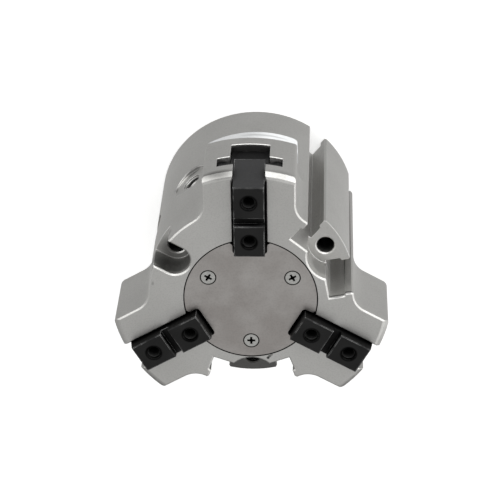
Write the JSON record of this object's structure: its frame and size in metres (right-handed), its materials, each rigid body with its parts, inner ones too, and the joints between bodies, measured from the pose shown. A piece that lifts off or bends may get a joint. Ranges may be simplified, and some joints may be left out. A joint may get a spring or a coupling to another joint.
{
  "type": "three jaw centric gripper",
  "caption": "Round pneumatic centric gripper: a winged barrel guides blackened base jaws, which a piston moves in and out together through a wedge hook.",
  "frame": {"origin": "centre of the rear mounting face, on the axis", "axes": "+Z from the rear face to the jaws; the wings stand at 30, 150 and 270 degrees from +X about +Z; the gap with the air ports is at 330 degrees"},
  "size_m": [0.0706, 0.0631, 0.06],
  "materials": {
    "housing": "hard anodised, satin",
    "plate": "ground",
    "screws": "zinc plated",
    "jaws": "blackened steel",
    "drive_steel": "ground and hardened",
    "piston_light": "turned",
    "magnet": "sintered",
    "seals": "moulded",
    "bush": "turned",
    "spring_steel": "blackened",
    "label": "bare white foil"
  },
  "bodies": {
    "body": {"housing": "housing", "cover_plate": "plate", "cover_screws": "screws", "rod_flange": "piston_light", "rod_bush": "bush", "rod_seal": "seals", "flange_seal": "seals", "flange_ring": "spring_steel", "rear_cover": "piston_light", "cover_seal": "seals", "cover_ring": "spring_steel", "label": "label", "transfer_plugs": "spring_steel"},
    "drive": {"piston_rod": "drive_steel", "piston_rear_disc": "piston_light", "piston_screw": "screws", "piston_magnet": "magnet", "piston_seal_front": "seals", "piston_seal_rear": "seals", "wedge_hook": "drive_steel", "hook_screw": "screws"},
    "jaw_1": {"jaw_1": "jaws"},
    "jaw_2": {"jaw_2": "jaws"},
    "jaw_3": {"jaw_3": "jaws"}
  },
  "joints": [
    {"name": "piston_slide", "type": "slide", "parent": "body", "child": "drive", "axis": [0, 0, -1], "range_m": [0, 0.00693]},
    {"name": "jaw_1_slide", "type": "slide", "parent": "body", "child": "jaw_1", "axis": [0.866, 0.5, 0], "range_m": [0, 0.004]},
    {"name": "jaw_2_slide", "type": "slide", "parent": "body", "child": "jaw_2", "axis": [-0.866, 0.5, 0], "range_m": [0, 0.004]},
    {"name": "jaw_3_slide", "type": "slide", "parent": "body", "child": "jaw_3", "axis": [0, -1, 0], "range_m": [0, 0.004]}
  ],
  "couplings": [
    {"joint": "jaw_1_slide", "follows": "piston_slide", "ratio": 0.57735},
    {"joint": "jaw_2_slide", "follows": "piston_slide", "ratio": 0.57735},
    {"joint": "jaw_3_slide", "follows": "piston_slide", "ratio": 0.57735}
  ]
}
